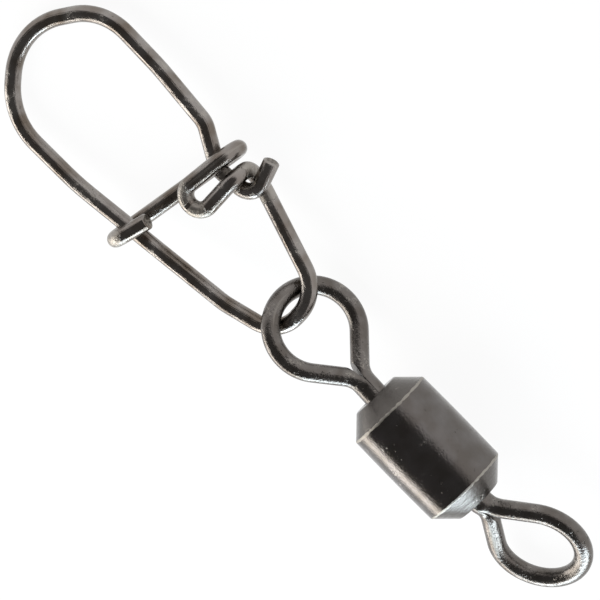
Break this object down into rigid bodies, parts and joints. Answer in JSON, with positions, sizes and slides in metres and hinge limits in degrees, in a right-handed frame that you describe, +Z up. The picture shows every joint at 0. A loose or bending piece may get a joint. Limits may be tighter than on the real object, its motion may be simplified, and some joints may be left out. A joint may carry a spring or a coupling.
{
  "type": "fishing snap swivel",
  "caption": "Small rolling swivel for fishing line: a turned barrel with a spinning wire eye at each end, and a folded wire snap linked into one of the eyes.",
  "frame": {"origin": "under the middle of the part's box, on the surface it lies on", "axes": "+X along the barrel from the snap to the line eye, +Y across the snap, +Z up from the surface"},
  "size_m": [0.0316, 0.0078, 0.0038],
  "materials": {
    "barrel_plate": "turned brass under dark nickel plate, satin, rubbed brighter along its edges",
    "wire_plate": "drawn steel wire under dark nickel plate, semi-gloss"
  },
  "bodies": {
    "barrel": {"barrel": "barrel_plate"},
    "line_eye": {"line_eye": "wire_plate"},
    "snap_eye": {"snap_eye": "wire_plate"},
    "snap": {"snap": "wire_plate"}
  },
  "joints": [
    {"name": "line_eye_spin", "type": "hinge", "parent": "barrel", "child": "line_eye", "pos_m": [0.0105, 0.00014, 0.00191], "axis": [0.9721, 0.0509, -0.2289], "continuous": true},
    {"name": "snap_eye_spin", "type": "hinge", "parent": "barrel", "child": "snap_eye", "pos_m": [0.0048, 0.00014, 0.00191], "axis": [-0.9984, 0.0157, -0.0541], "continuous": true},
    {"name": "snap_swing", "type": "hinge", "parent": "snap_eye", "child": "snap", "pos_m": [-0.00062, 0.00017, 0.00156], "axis": [0.0592, 0.441, -0.8956], "range_deg": [-100, 100]}
  ]
}
